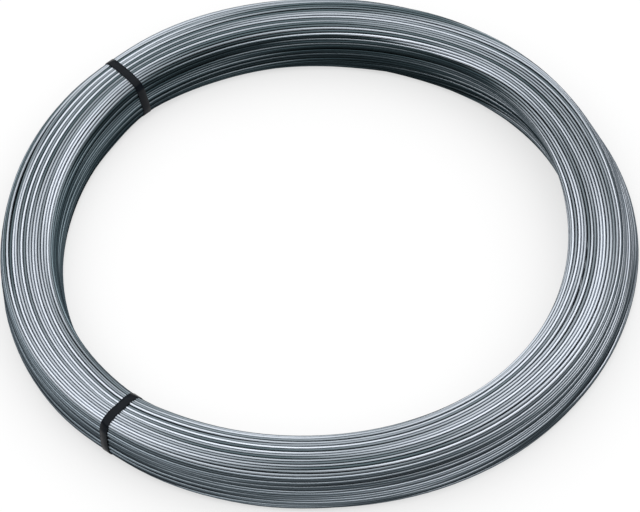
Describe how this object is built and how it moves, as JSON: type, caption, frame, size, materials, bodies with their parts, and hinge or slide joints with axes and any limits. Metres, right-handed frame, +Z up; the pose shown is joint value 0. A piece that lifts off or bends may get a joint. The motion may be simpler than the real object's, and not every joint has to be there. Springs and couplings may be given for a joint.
{
  "type": "coil of galvanized wire",
  "caption": "Loose round coil of galvanized steel wire lying flat, its turns showing, tied by two narrow plastic straps.",
  "frame": {"origin": "on the coil's axis, level with the surface it lies on", "axes": "+Z up along the coil's axis; the two straps are on the -X side"},
  "size_m": [0.628, 0.628, 0.0613],
  "materials": {
    "galvanized_wire": "galvanized, dull with fine bright lines",
    "strap_plastic": "satin"
  },
  "bodies": {
    "root": {"wire_coil": "galvanized_wire", "strap_rear": "strap_plastic", "strap_front": "strap_plastic"}
  },
  "joints": []
}
